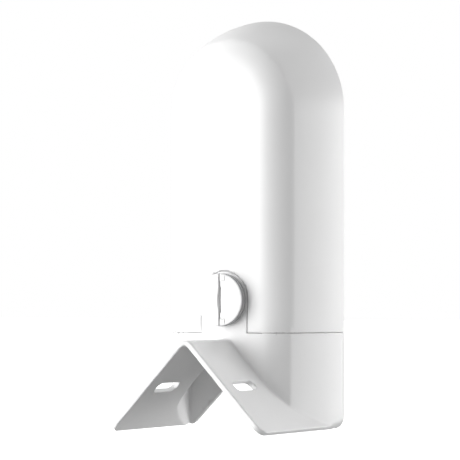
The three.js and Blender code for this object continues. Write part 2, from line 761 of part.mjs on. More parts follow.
function pairingButton() {
  const faceZ = unitBaseZ + 0.3;
  const flangeZ = unitFloorZ + fit;
  const flangeTop = flangeZ + 0.6;
  const stemTop = sensorBoard.z[0] - 0.1 - switchBody.thick - switchBody.nub - button.travel;
  const body = turned([
    [0, faceZ],
    [button.r - 0.45, faceZ],
    [button.r, faceZ + 0.4],
    [button.r, flangeZ],
    [2.9, flangeZ],
    [2.9, flangeTop],
    [1.2, flangeTop],
    [1.2, stemTop],
    [0, stemTop],
  ], { upright: true });
  const mesh = piece("pairing_button", body, materials.rubber);
  mesh.position.set(button.x, button.y, 0);
  return mesh;
}

// Flat cable from the sensor board up to the main board.
function sensorCable() {
  const { x, r } = cable;
  const route = [
    [x, 5.6, sensorBoard.z[1] + 0.2],
    [x, 5.6, 45],
    [x, 4, 50],
    [x + 1, 3.8, 56],
    [x + 8, 3.8, 60.5],
    [x + 8.5, 3.8, 63.5],
  ];
  return piece("sensor_cable", wire(route, r, 24), materials.ribbon);
}

// ---------------------------------------------------------------- assembly

function group(...members) {
  const parent = new THREE.Group();
  parent.add(...members);
  return parent;
}

const lockScrew = group(lockKnob(), flipHandle(), lockStud(), knobWasher());
lockScrew.position.set(0, backY, knobZ);

const electronics = group(
  mainBoard(),
  radioShield(),
  antennaWire(),
  sensorBoardMesh(),
  chipUnderBoard("humidity_sensor", [sensor.x, sensor.y], sensor.half, sensor.thick),
  ventMembrane(),
  chipUnderBoard("pairing_switch", [button.x, button.y], switchBody.half, switchBody.thick),
  pairingButton(),
  sensorCable(),
  ...boardScrewPlaces.map(boardScrewMesh),
);

const power = group(
  batteryTray(),
  batteryCell("battery_cell_left", -cell.x),
  batteryCell("battery_cell_right", cell.x),
  contactLeaf(),
  contactSpring(),
  batteryLead("battery_lead_positive", -1, materials.redLead),
  batteryLead("battery_lead_negative", 1, materials.blackLead),
);

const door = group(batteryDoor(), doorGasket(), doorContact(), ...doorScrewPlaces.map(doorScrewMesh));

const sensorUnit = group(
  rearHousing(),
  frontCover(),
  coverGasket(),
  threadedInsert(),
  lightPipeRod(),
  electronics,
  power,
  door,
);

const weatherSensor = group(saddleBracket(), lockScrew, sensorUnit);
weatherSensor.name = "weather_sensor";

export default weatherSensor;
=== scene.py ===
# Looks of an outdoor weather sensor on its saddle bracket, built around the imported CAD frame.
# Moulded pieces are drawn as distance fields in millimetres, in the frame's own axes, and meshed.
import json
import math

import bpy
import numpy as np
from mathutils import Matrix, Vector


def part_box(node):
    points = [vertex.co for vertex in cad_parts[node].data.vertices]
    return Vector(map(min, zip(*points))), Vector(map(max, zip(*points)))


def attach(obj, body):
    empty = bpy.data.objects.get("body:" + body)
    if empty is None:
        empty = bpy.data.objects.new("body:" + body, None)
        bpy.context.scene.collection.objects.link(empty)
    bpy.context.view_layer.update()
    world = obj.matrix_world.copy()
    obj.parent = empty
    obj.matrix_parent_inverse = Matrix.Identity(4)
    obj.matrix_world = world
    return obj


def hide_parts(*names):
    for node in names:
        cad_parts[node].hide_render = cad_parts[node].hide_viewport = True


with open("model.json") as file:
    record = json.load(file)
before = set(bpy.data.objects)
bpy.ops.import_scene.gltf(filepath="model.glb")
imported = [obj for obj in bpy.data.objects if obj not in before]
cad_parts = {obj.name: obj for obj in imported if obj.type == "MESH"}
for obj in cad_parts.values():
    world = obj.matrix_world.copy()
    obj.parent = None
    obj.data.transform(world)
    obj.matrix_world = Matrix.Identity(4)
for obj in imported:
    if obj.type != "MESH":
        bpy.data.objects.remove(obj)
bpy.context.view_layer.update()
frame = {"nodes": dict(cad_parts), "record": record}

import openvdb
from mathutils import Vector

MM = 0.001


def box_mm(node):
    """Lowest and highest corner of a CAD node, in millimetres."""
    return [np.array(corner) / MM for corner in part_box(node)]


# ---------------------------------------------------------------- sizes, in millimetres

housing_low, housing_high = box_mm("rear_housing")
bracket_low = box_mm("saddle_bracket")[0]
knob_low, knob_high = box_mm("lock_knob")
board_low, board_high = box_mm("main_circuit_board")
door_low, door_high = box_mm("battery_door")
shield_low, shield_high = box_mm("radio_shield")
pipe_low, pipe_high = box_mm("light_pipe")
sensor_low, sensor_high = box_mm("humidity_sensor")
button_low, button_high = box_mm("pairing_button")
insert_low, insert_high = box_mm("threaded_insert")

RIM_HALF = housing_high[0]  # half-width at the front rim
BACK_Y = housing_low[1]
FRONT_Y = housing_high[1]  # middle of the crowned front
UNIT_BASE = housing_low[2]
ARCH_Z = housing_high[2] - RIM_HALF  # centre of the round top
CLEAR = 0.3
DECK_Z = UNIT_BASE - CLEAR
SEAM = 0.04  # what shows of the gap between the unit and its bracket
NEAR_Y = bracket_low[1]
KNOB_Z = (knob_low[2] + knob_high[2]) / 2
KNOB_R = (knob_high[2] - knob_low[2]) / 2
KNOB_FACE = knob_low[1]

FLAT_HALF = 14.0  # half-width of the flat back
CORNER_R = 15.1  # rounding between the back and the sides
CREASE_TURN = math.radians(45.4)  # where the rounding ends in a crease
RIM_DROP = 2.2  # from the middle of the front to its rim
RIM_Y = FRONT_Y - RIM_DROP
SIDE_BULGE = 1.1  # how far the flared sides stand out from straight
WALL = 2.2
SKIRT_WALL = 2.1
DECK_THICK = 2.0
DECK_OPENING = ((-24, 4), (24, 26.4))  # low and high corners in X and Y
DECK_OPENING_R = 2.5
RIM_WALL = 1.0
MOUTH_Y = 25.7  # seat of the front cover's gasket
COVER_Y = 26.6
COVER_SIDE = RIM_WALL + CLEAR

WING_ANGLE = math.radians(43.4)  # each wing, from the vertical
WING_APEX = 35.0  # where the outer faces of the wings would meet
WING_THICK = 2.1
BEND_R = 2.2
SLOT_LENGTH = 14.5
SLOT_WIDTH = 4.6
SLOT_Y = -16.4
SLOT_DOWN = 24.4  # down the wing from its apex
TONGUE_HALF = 9.5
TONGUE_Z = 48.0  # centre of its round top
HUB_R = 4.2

BOARD_SCREWS = [((low[0] + high[0]) / 2, (low[2] + high[2]) / 2)
                for low, high in (box_mm(f"board_screw_{i}") for i in range(1, 5))]
DOOR_Y = (door_low[1] + door_high[1]) / 2
DOOR_SCREW_X = sum(corner[0] for corner in box_mm("door_screw_right")) / 2

# ---------------------------------------------------------------- camera

VIEW_AZIMUTH = math.radians(30)
VIEW_DISTANCE = 917.6
EYE_HEIGHT = 50.8
EYE_RIGHT = 2.15
FOCAL_IN_FRAMES = 5.541  # focal length over the picture's width
SHIFT_UP = 0.13


def add_camera():
    data = bpy.data.cameras.new("camera")
    data.sensor_width = 36
    data.lens = data.sensor_width * FOCAL_IN_FRAMES
    data.shift_y = SHIFT_UP
    data.clip_end = 20
    camera = bpy.data.objects.new("camera", data)
    away = Vector((math.sin(VIEW_AZIMUTH), -math.cos(VIEW_AZIMUTH), 0))
    right = Vector((math.cos(VIEW_AZIMUTH), math.sin(VIEW_AZIMUTH), 0))
    place = away * VIEW_DISTANCE + right * EYE_RIGHT + Vector((0, BACK_Y, EYE_HEIGHT))
    camera.location = place * MM
    camera.rotation_euler = (math.pi / 2, 0, VIEW_AZIMUTH)
    bpy.context.scene.collection.objects.link(camera)
    bpy.context.scene.camera = camera


# ---------------------------------------------------------------- distance fields


def soft_max(a, b, k):
    """The larger of two fields, with the edge between them rounded over about k millimetres."""
    h = np.clip(0.5 + 0.5 * (a - b) / k, 0, 1)
    return b + (a - b) * h + k * h * (1 - h)


def soft_min(a, b, k):
    return -soft_max(-a, -b, k)


def rounded_slab(a, b, low, high, r):
    """A rectangle in two coordinates, with round corners."""
    da = np.abs(a - (low[0] + high[0]) / 2) - (high[0] - low[0]) / 2 + r
    db = np.abs(b - (low[1] + high[1]) / 2) - (high[1] - low[1]) / 2 + r
    outside = np.hypot(np.maximum(da, 0), np.maximum(db, 0))
    return outside + np.minimum(np.maximum(da, db), 0) - r


def between(v, low, high):
    return np.maximum(low - v, v - high)


def bar(a, b, centre, r):
    return np.hypot(a - centre[0], b - centre[1]) - r


def brick(p, low, high, edge=0.3):
    """A box with soft edges."""
    body = soft_max(between(p[0], low[0], high[0]), between(p[1], low[1], high[1]), edge)
    return soft_max(body, between(p[2], low[2], high[2]), edge)


def least(*fields):
    return np.minimum.reduce(fields)


crown_r = (RIM_HALF**2 + RIM_DROP**2) / (2 * RIM_DROP)
corner_centre = np.array([FLAT_HALF, BACK_Y + CORNER_R])
crease_normal = np.array([math.sin(CREASE_TURN), -math.cos(CREASE_TURN)])
crease = corner_centre + CORNER_R * crease_normal
rim = np.array([RIM_HALF, RIM_Y])
side_chord = rim - crease
side_length = float(np.linalg.norm(side_chord))
side_r = side_length**2 / (8 * SIDE_BULGE) + SIDE_BULGE / 2
side_inwards = np.array([-side_chord[1], side_chord[0]]) / side_length
side_centre = (crease + rim) / 2 + side_inwards * (side_r - SIDE_BULGE)


def arch(x, y, z, side=0.0, front=0.0, crease_k=0.15, rim_k=1.0):
    """The unit's outline, straight below the arch's centre and turned about it above.

    The back and sides move inwards by `side`, and the crowned front by `front`.
    """
    r = np.hypot(x, np.maximum(z - ARCH_Z, 0))
    dx, dy = r - corner_centre[0], y - corner_centre[1]
    on_flat = BACK_Y - y
    on_corner = np.hypot(dx, dy) - CORNER_R
    past = (r - crease[0]) * crease_normal[0] + (y - crease[1]) * crease_normal[1]
    turned = dx * math.cos(CREASE_TURN) + dy * math.sin(CREASE_TURN) > 0
    back = np.where(dx <= 0, on_flat, np.where(turned, past, on_corner))
    flank = np.hypot(r - side_centre[0], y - side_centre[1]) - side_r
    crown = np.hypot(r, y - (FRONT_Y - crown_r)) - crown_r
    body = soft_max(back + side, flank + side, crease_k)
    return soft_max(body, crown + front, rim_k)


def tombstone(x, z, half):
    """Straight sides with a round top."""
    return np.hypot(x, np.maximum(z - TONGUE_Z, 0)) - half


# ---------------------------------------------------------------- meshing


def gradient(field, p, step=0.01):
    shifts = np.eye(3) * step
    return np.stack([field(*(p + s).T) - field(*(p - s).T) for s in shifts], 1) / (2 * step)


def settle(field, p, cell, rounds=3):
    """Moves points onto the field's zero level."""
    for _ in range(rounds):
        slope = gradient(field, p)
        value = field(*p.T)
        step = slope * (value / np.maximum((slope**2).sum(1), 0.05))[:, None]
        length = np.linalg.norm(step, axis=1, keepdims=True)
        p = p - step * np.minimum(1, 0.5 * cell / np.maximum(length, 1e-9))
    return p


def moulded(name, field, box, cell, adaptivity=0.0):
    """A mesh object of a field's zero level inside a box, all in millimetres."""
    low = np.asarray(box[0], float) - 2 * cell
    axes = [np.arange(a, b + 2.5 * cell, cell) for a, b in zip(low, box[1])]
    values = field(*np.meshgrid(*axes, indexing="ij"))
    grid = openvdb.FloatGrid(3 * cell)
    grid.copyFromArray(np.clip(values, -3 * cell, 3 * cell).astype(np.float32))
    points, triangles, quads = grid.convertToPolygons(isovalue=0.0, adaptivity=adaptivity)
    points = settle(field, low + points.astype(float) * cell, cell)
    slope = gradient(field, points)
    normals = slope / np.maximum(np.linalg.norm(slope, axis=1, keepdims=True), 1e-9)
    points = np.clip(points, box[0], box[1])
    faces = [f[::-1].tolist() for f in triangles] + [f[::-1].tolist() for f in quads]
    mesh = bpy.data.meshes.new(name)
    mesh.from_pydata((points * MM).tolist(), [], faces)
    mesh.update()
    faces_seen = mesh.polygons[0 : min(2000, len(mesh.polygons))]
    facing = sum(float(np.dot(f.normal, normals[f.vertices[0]])) for f in faces_seen)
    if facing < 0:
        mesh.flip_normals()
    mesh.shade_smooth()
    mesh.normals_split_custom_set_from_vertices(normals.tolist())
    obj = bpy.data.objects.new(name, mesh)
    bpy.context.scene.collection.objects.link(obj)
    return obj


# ---------------------------------------------------------------- bracket

wing_sin, wing_cos = math.sin(WING_ANGLE), math.cos(WING_ANGLE)
bend_z = WING_APEX - (BEND_R + WING_THICK) / wing_sin
foot_x = (WING_APEX - WING_THICK / wing_sin) * wing_sin / wing_cos  # inner corner of a foot
wing_end = foot_x * wing_sin + WING_APEX * wing_cos
FOOT_CORNER = 4.3
FOOT_SIDE_R = 7.5  # bottom corner of the skirt, seen from the front
FOOT_SIDE_Z = 6.5
EDGE = 0.5
FOOT_FAR_R = 6.0
JOINT_FLAT = 0.9  # soft hollow where the skirt meets the wings, at the flat back
JOINT_CREASE = 0.6  # the same, past the crease


def wing_cover(x, z):
    """Distance above the outer face of the bent sheet."""
    ax, dz = np.abs(x), z - bend_z
    plane = ax * wing_cos + (z - WING_APEX) * wing_sin
    bend = np.hypot(ax, dz) - (BEND_R + WING_THICK)
    return np.where(ax * wing_sin - dz * wing_cos < 0, bend, plane)


def foot_corner(x, z):
    """The rounded bottom corners, seen from the front."""
    corner_x = foot_x - math.sqrt(FOOT_SIDE_R**2 - FOOT_SIDE_Z**2)
    across = np.maximum(np.abs(x) - corner_x, 0)
    corner = np.hypot(across, np.minimum(z - FOOT_SIDE_Z, 0)) - FOOT_SIDE_R
    return np.where(across > 0, corner, -1.0)


def foot_far(y, z):
    """The rounded far bottom corner, seen from the side."""
    past = np.maximum(y - FRONT_Y + FOOT_FAR_R, 0)
    under = np.minimum(z / wing_cos - FOOT_FAR_R, 0)
    return np.hypot(past, under) - FOOT_FAR_R


def strap_slots(y, z, down):
    straight = (SLOT_LENGTH - SLOT_WIDTH) / 2
    slot = np.hypot(np.maximum(np.abs(y - SLOT_Y) - straight, 0), down - SLOT_DOWN)
    return np.maximum(slot - SLOT_WIDTH / 2, z - DECK_Z + 4)


def bracket_field(x, y, z):
    cover = wing_cover(x, z)
    down = np.abs(x) * wing_sin + (WING_APEX - z) * wing_cos
    outline = rounded_slab(y, down, (NEAR_Y, -80), (RIM_Y, wing_end), FOOT_CORNER)
    wings = soft_max(cover, outline, EDGE)
    low_z = np.minimum(z, ARCH_Z)
    past_flat = np.clip((np.abs(x) - FLAT_HALF) / (crease[0] - FLAT_HALF), 0, 1)
    joint = JOINT_FLAT + (JOINT_CREASE - JOINT_FLAT) * past_flat
    solid = soft_min(arch(x, y, low_z), wings, joint)
    solid = soft_max(solid, foot_corner(x, z), EDGE)
    solid = soft_max(solid, foot_far(y, z), EDGE)
    solid = soft_max(solid, z - UNIT_BASE + SEAM, 0.12)
    solid = soft_max(solid, -(cover + WING_THICK), EDGE)
    hollow = np.maximum(arch(x, y, low_z, SKIRT_WALL, SKIRT_WALL), z - (DECK_Z - DECK_THICK))
    solid = soft_max(solid, -hollow, EDGE)
    opening = rounded_slab(x, y, *DECK_OPENING, DECK_OPENING_R)
    solid = soft_max(solid, -np.maximum(opening, DECK_Z - 2 * DECK_THICK - z), 0.5)
    tongue = soft_max(tombstone(x, z, TONGUE_HALF), between(y, BACK_Y, BACK_Y + SKIRT_WALL), 0.1)
    solid = soft_min(solid, np.maximum(tongue, DECK_Z - DECK_THICK - z), 0.3)
    solid = soft_max(solid, -bar(x, z, (0, KNOB_Z), HUB_R + CLEAR), 0.3)
    return soft_max(solid, -strap_slots(y, z, down), 0.2)


# ---------------------------------------------------------------- unit housing

RECESS_BACK = BACK_Y + SKIRT_WALL + CLEAR
INSERT_R = (insert_high[0] - insert_low[0]) / 2
BUTTON_X = (button_low[0] + button_high[0]) / 2
BUTTON_Y = (button_low[1] + button_high[1]) / 2
SENSOR_X = (sensor_low[0] + sensor_high[0]) / 2
VENT_PITCH = 2.4


def housing_holes(x, y, z):
    """The doorway, vents and button hole in the floor of the unit."""
    door = rounded_slab(x, y, door_low[:2] - CLEAR, door_high[:2] + CLEAR, 0.8)
    vents = [rounded_slab(x - SENSOR_X - i * VENT_PITCH, y - BUTTON_Y, (-0.6, -2), (0.6, 2), 0.55)
             for i in (-1, 0, 1)]
    button = bar(x, y, (BUTTON_X, BUTTON_Y), 2.3)
    return np.maximum(least(door, button, *vents), z - UNIT_BASE - WALL - 1)


def housing_bosses(x, y, z):
    """Posts for the main board's screws, the door's screws and the lock screw's insert."""
    posts = [np.maximum(bar(x, z, at, 2.3), between(y, BACK_Y + 1, board_low[1] - 0.15))
             for at in BOARD_SCREWS]
    door_boss = least(bar(np.abs(x), y, (DOOR_SCREW_X, DOOR_Y), 2.5),
                      np.maximum(between(y, DOOR_Y - 0.8, DOOR_Y + 0.8),
                                 between(np.abs(x), DOOR_SCREW_X, 30)))
    posts.append(soft_max(door_boss, between(z, 39.4, 46.4), 0.4))
    boss = soft_max(bar(x, z, (0, KNOB_Z), INSERT_R + 1.9),
                    between(y, RECESS_BACK + 1, insert_high[1] + 0.8), 0.4)
    return least(boss, *posts)


def housing_field(x, y, z):
    outer = soft_max(arch(x, y, z), UNIT_BASE - z, 0.12)
    inside = soft_max(arch(x, y, z, WALL, -2), UNIT_BASE + WALL - z, 0.6)
    mouth = arch(x, y, z, RIM_WALL, -2)
    mouth = np.maximum(np.maximum(mouth, UNIT_BASE + RIM_WALL - z), MOUTH_Y - y)
    bosses = np.maximum(housing_bosses(x, y, z), outer)
    recess_wall = np.maximum(tombstone(x, z, TONGUE_HALF + CLEAR + 2),
                             between(y, BACK_Y + 0.5, RECESS_BACK + 2))
    shell = least(np.maximum(outer, -inside), np.maximum(recess_wall, UNIT_BASE - z))
    body = soft_min(shell, bosses, 0.5)
    body = soft_max(body, -mouth, 0.3)
    recess = np.maximum(tombstone(x, z, TONGUE_HALF + SEAM), y - RECESS_BACK)
    body = soft_max(body, -recess, 0.1)
    bore = np.maximum(bar(x, z, (0, KNOB_Z), INSERT_R + 0.15), y - insert_high[1] - 0.15)
    pilots = [np.maximum(bar(x, z, at, 1.15), board_low[1] - 4 - y) for at in BOARD_SCREWS]
    door_pilot = np.maximum(bar(np.abs(x), y, (DOOR_SCREW_X, DOOR_Y), 1.1), z - 45.4)
    body = soft_max(body, -housing_holes(x, y, z), 0.3)
    return np.maximum(body, -least(bore, door_pilot, *pilots))


# ---------------------------------------------------------------- front cover

HOOK_Z = [60, 100]


def cover_field(x, y, z):
    base = UNIT_BASE + COVER_SIDE
    outer = soft_max(arch(x, y, z, COVER_SIDE, 0, rim_k=1.6), base - z, 1.2)
    outer = soft_max(outer, COVER_Y - y, 0.4)
    inside = np.maximum(arch(x, y, z, COVER_SIDE + 2, 2), base + 2 - z)
    shell = np.maximum(outer, -inside)
    hooks = [brick((np.abs(x), y, z), (27.2, 21.5, h - 3), (28.6, COVER_Y + 0.6, h + 3))
             for h in HOOK_Z]
    window = bar(x, z, (0, (pipe_low[2] + pipe_high[2]) / 2), 1.65)
    return soft_max(least(shell, *hooks), -window, 0.3)


def cover_gasket_field(x, y, z):
    outer = np.maximum(arch(x, y, z, RIM_WALL + 0.15, -2), UNIT_BASE + RIM_WALL + 0.15 - z)
    inner = np.maximum(arch(x, y, z, WALL - 0.1, -2), UNIT_BASE + WALL - 0.1 - z)
    ring = soft_max(outer, -inner, 0.25)
    return soft_max(ring, between(y, MOUTH_Y + 0.15, COVER_Y - 0.15), 0.25)


# ---------------------------------------------------------------- lock screw

HEAD_THICK = 3.05
HUB_DEPTH = 5.5
WELL = 2.0  # depth of the well that the tab folds into
TAB_THICK = 1.5
SLIT_HALF = 0.25
HINGE_X = 1.0
HINGE_DEPTH = 0.75
TRUNNION_FROM = 6.8
TRUNNION_TO = 8.1
LUG_FROM = 6.83
LUG_SIDE = 2.37
NOTCH_SIDE = 2.4
COIN_HALF = 4.5
COIN_DEPTH = 1.6
COIN_SAG = 0.62  # left edge of the coin slot, at its middle
COIN_RIGHT = 0.75


def coin_slot(x, h):
    """The slot for a coin: straight on the tab's side and slightly bowed on the other."""
    bow = COIN_SAG * (1 - (h / COIN_HALF) ** 2)
    return np.maximum(np.maximum(-bow - x, x - COIN_RIGHT), h - COIN_HALF)


def knob_field(x, y, z):
    depth = y - KNOB_FACE
    h = np.abs(z - KNOB_Z)
    disc = np.hypot(x, z - KNOB_Z) - KNOB_R
    solid = soft_max(disc, between(depth, 0, HEAD_THICK), 0.8)
    hub = np.maximum(np.hypot(x, z - KNOB_Z) - HUB_R, between(depth, 1, HUB_DEPTH))
    solid = np.minimum(solid, hub)
    well = np.maximum(-SLIT_HALF - x, depth - WELL)
    lug = np.maximum(between(x, SLIT_HALF, LUG_SIDE), LUG_FROM - h)
    solid = soft_max(solid, -np.maximum(well, -lug), 0.2)
    return soft_max(solid, -np.maximum(coin_slot(x, h), depth - COIN_DEPTH), 0.2)


def tab_field(x, y, z):
    depth = y - KNOB_FACE
    h = np.abs(z - KNOB_Z)
    disc = np.hypot(x, z - KNOB_Z) - (KNOB_R - 0.02)
    plate = soft_max(disc, between(depth, 0, TAB_THICK), 0.6)
    plate = soft_max(plate, HINGE_X - x, 0.2)
    plate = np.maximum(plate, -np.maximum(x - NOTCH_SIDE, TRUNNION_FROM - h))
    from_hinge = np.hypot(x - HINGE_X, depth - HINGE_DEPTH)
    barrel = np.maximum(from_hinge - 0.75, h - TRUNNION_FROM)
    body = least(plate, barrel, np.maximum(from_hinge - 0.5, h - TRUNNION_TO))
    return soft_max(body, -coin_slot(x, h), 0.2)


LOCK_PITCH = 1.27


def thread(r, angle, along, crest, pitch, depth):
    """A screw thread: a round bar whose surface winds in and out."""
    phase = (along / pitch - angle / (2 * math.pi)) % 1
    return r - crest + depth * np.abs(2 * phase - 1)


def stud_field(x, y, z):
    low, high = box_mm("lock_stud")
    r, angle = np.hypot(x, z - KNOB_Z), np.arctan2(z - KNOB_Z, x)
    body = thread(r, angle, y, 3.1, LOCK_PITCH, 0.75)
    return soft_max(np.maximum(body, between(y, low[1], high[1])), r + y - high[1] - 2.4, 0.3)


def washer_field(x, y, z):
    low, high = box_mm("knob_washer")
    r = np.hypot(x, z - KNOB_Z)
    return soft_max(between(r, HUB_R + 0.25, high[0]), between(y, low[1], high[1]), 0.15)


def insert_field(x, y, z):
    r, angle = np.hypot(x, z - KNOB_Z), np.arctan2(z - KNOB_Z, x)
    in_waist = np.abs(y - insert_low[1] - 3.2) <= 0.5
    knurl = 0.16 * np.abs(np.sin(14 * angle)) * ~in_waist
    waist = 0.35 * in_waist
    bore = -thread(r, angle, y, 3.75, LOCK_PITCH, -0.35)
    outer = np.maximum(r - INSERT_R + knurl + waist, bore)
    return soft_max(outer, between(y, insert_low[1], insert_high[1]), 0.25)


# ---------------------------------------------------------------- battery compartment


def tray_field(x, y, z):
    low, high = box_mm("battery_tray")
    inner = high[0] - 1.2
    back = np.maximum(between(y, low[1], low[1] + 1.1), np.abs(x) - high[0])
    ribs = np.maximum(between(np.abs(x), 0, 0.5), y - low[1] - 1.6)
    walls = np.maximum(between(np.abs(x), inner, high[0]), y - 21)
    lips = np.maximum(between(np.abs(x), inner - 0.1, high[0]), between(y, 20.2, 21))
    upright = np.maximum(least(back, walls, lips, ribs), between(z, low[2], high[2]))
    top = np.maximum(between(z, high[2] - 1.8, high[2]), np.abs(x) - high[0])
    body = least(upright, top)
    body = soft_max(body, between(y, low[1], high[1]), 0.3)
    slots = np.maximum(between(np.abs(x), 5.75, 8.95), between(y, 10.6, 13.4))
    return soft_max(soft_max(body, -slots, 0.2), np.abs(x) - high[0], 0.3)


def cell_field(node):
    """A cell with a sleeve that laps over both ends, and a nub at one end."""
    low, high = box_mm(node)
    middle = (low + high) / 2
    radius = (high[0] - low[0]) / 2
    nub_up = middle[0] < 0

    def field(x, y, z):
        r = np.hypot(x - middle[0], y - middle[1])
        up = z - low[2] if nub_up else high[2] - z
        length = high[2] - low[2]
        can = soft_max(r - radius, between(up, 0, length - 1.4), 1.1)
        ends = np.maximum(r - radius + 1.3, least(up - 0.18, length - 1.58 - up))
        can = soft_max(can, -ends, 0.15)
        nub = soft_max(r - 2.75, between(up, length - 4, length), 0.6)
        groove = np.maximum(between(r, radius - 0.12, radius + 1), np.abs(up - length + 4.2) - 0.35)
        return least(soft_max(can, -groove, 0.2), nub)

    return field


DOOR_INSET = 0.9  # the panel ends this far inside the door's outline, all round


def door_field(x, y, z):
    plan = rounded_slab(x, y, door_low[:2], door_high[:2], 0.8)
    plate = soft_max(plan, between(z, door_low[2], door_high[2]), 0.5)
    seat = np.maximum(-plan - DOOR_INSET, between(z, door_low[2] + 0.55, door_low[2] + 1.55))
    plate = np.maximum(plate, np.minimum(plan + DOOR_INSET, np.abs(seat)))
    sunk = np.maximum(bar(np.abs(x), y, (DOOR_SCREW_X, DOOR_Y), 2.05), z - door_low[2] - 1.4)
    through = bar(np.abs(x), y, (DOOR_SCREW_X, DOOR_Y), 1.1)
    grip = np.maximum(np.hypot(np.maximum(np.abs(x) - 5, 0), y - DOOR_Y) - 1.4, z - door_low[2] - 0.5)
    return soft_max(plate, -least(sunk, through, grip), 0.3)


def door_gasket_field(x, y, z):
    low, high = box_mm("battery_door_gasket")
    plan = rounded_slab(x, y, low[:2], high[:2], 0.9)
    return soft_max(soft_max(plan, -plan - 0.92, 0.2), between(z, low[2], high[2]), 0.35)


def door_contact_field(x, y, z):
    low, high = box_mm("door_contact")
    strip = np.maximum(rounded_slab(x, y, low[:2], high[:2], 1.0), between(z, low[2], low[2] + 0.45))
    dome = np.hypot(bar(np.abs(x), y, (7.35, DOOR_Y), 0), z - low[2] + 1.6) - 2.75
    return soft_min(strip, np.maximum(dome, low[2] - z), 0.3)


def contact_leaf_field(x, y, z):
    low, high = box_mm("contact_leaf")
    middle = (low[0] + high[0]) / 2
    width = np.abs(x - middle) - (high[0] - low[0]) / 2
    upper, lower, thick = 94.9, low[2], 0.4
    tag = np.maximum(between(y, low[1], low[1] + thick), between(z, upper - thick, high[2]))
    top = np.maximum(between(z, upper - thick, upper), between(y, low[1], high[1] - 1.5))
    tip = np.maximum(between(z, lower, lower + thick), between(y, 13, high[1] - 1.5))
    bend_centre = (upper + lower) / 2
    bend = np.abs(np.hypot((y - high[1] + 1.5) * 1.5, z - bend_centre) - (upper - lower) / 2 + 0.2) - 0.2
    bend = np.maximum(bend, high[1] - 1.5 - y)
    return soft_max(least(tag, top, tip, bend), width, 0.1)


def screw_field(node, axis, out):
    """A cross-head screw along an axis, its head towards `out`."""
    low, high = box_mm(node)
    middle = (low + high) / 2
    others = [i for i in range(3) if i != axis]
    head_r = (high[others[0]] - low[others[0]]) / 2
    tip = low[axis] if out > 0 else high[axis]
    length = high[axis] - low[axis]
    head = 1.2 if axis == 1 else 1.0

    def field(*p):
        a, b = (p[i] - middle[i] for i in others)
        up = (p[axis] - tip) * out
        r, angle = np.hypot(a, b), np.arctan2(b, a)
        shank = np.maximum(thread(r, angle, up, 0.95, 0.6, 0.22), up - length + head)
        shank = soft_max(shank, 0.35 * (r - up) - 0.1, 0.2)
        cap = soft_max(r - head_r, up - length, 0.7)
        cap = np.maximum(cap, length - head - up)
        blade = least(np.maximum(np.abs(a) - 0.25, np.abs(b) - head_r * 0.6),
                      np.maximum(np.abs(b) - 0.25, np.abs(a) - head_r * 0.6))
        cross = np.maximum(blade + np.maximum(length - up, 0) * 0.15, length - head * 0.6 - up)
        return np.maximum(soft_max(least(cap, shank), -cross, 0.12), -up)

    return field


# ---------------------------------------------------------------- electronics


def board_field(x, y, z):
    half = board_high[0]
    outline = np.maximum(np.hypot(x, np.maximum(z - board_high[2] + half, 0)) - half, board_low[2] - z)
    plate = soft_max(outline, between(y, board_low[1], board_high[1]), 0.15)
    return np.maximum(plate, -least(*[bar(x, z, at, 1.3) for at in BOARD_SCREWS]))


def parts_field(x, y, z):
    """Chips, capacitors and connectors in front of the main board."""
    face = board_high[1] + 0.02
    chips = [(-6, 100, 3.5, 3.5, 1.0), (6.5, 100, 2.4, 3.0, 1.1), (0, 124, 1.6, 1.6, 0.9),
             (-13, 112, 1.5, 2.2, 1.2), (13, 112, 1.5, 2.2, 1.2), (12.6, 101, 1.0, 0.6, 0.6),
             (12.6, 98, 1.0, 0.6, 0.6), (-13, 101, 1.0, 0.6, 0.6), (-13, 98, 1.0, 0.6, 0.6)]
    return least(*[brick((x, y, z), (cx - a, face, cz - b), (cx + a, face + tall, cz + b), 0.15)
                   for cx, cz, a, b, tall in chips])


def shield_field(x, y, z):
    can = brick((x, y, z), shield_low, shield_high, 0.5)
    holes = np.hypot((x + 1.5) % 3 - 1.5, (z - ARCH_Z + 1.5) % 3 - 1.5) - 0.4
    inside = np.maximum(np.maximum(np.abs(x) - 6, np.abs(z - 114.75) - 4.5), shield_high[1] - 0.3 - y)
    return soft_max(can, -np.maximum(holes, inside), 0.1)


def boxed(node, edge):
    low, high = box_mm(node)
    return lambda x, y, z: brick((x, y, z), low, high, edge)


def membrane_field(x, y, z):
    low, high = box_mm("vent_membrane")
    return soft_max(rounded_slab(x, y, low[:2], high[:2], 1), between(z, low[2], high[2]), 0.1)


def switch_field(x, y, z):
    low, high = box_mm("pairing_switch")
    body = brick((x, y, z), low + np.array([0, 0, 0.25]), high, 0.2)
    nub = np.maximum(bar(x, y, (BUTTON_X, BUTTON_Y), 1.1), between(z, low[2], high[2]))
    return least(body, nub)


def button_field(x, y, z):
    r = np.hypot(x - BUTTON_X, y - BUTTON_Y)
    low, high = button_low[2], button_high[2]
    dish = 0.25 - 0.05 * r**2
    cap = soft_max(r - 2.05, between(z, low + np.maximum(dish, 0), low + 2.2), 0.4)
    flange = soft_max(r - 2.9, between(z, low + 2.05, low + 2.65), 0.2)
    return least(cap, flange, np.maximum(r - 1.2, between(z, low + 2, high)))


def pipe_field(x, y, z):
    r = np.hypot(x, z - (pipe_low[2] + pipe_high[2]) / 2)
    rod = soft_max(r - 1.5, between(y, pipe_low[1], pipe_high[1]), 0.6)
    flange = soft_max(r - 2.6, between(y, COVER_Y, COVER_Y + 0.8), 0.2)
    return least(rod, flange)


# ---------------------------------------------------------------- materials


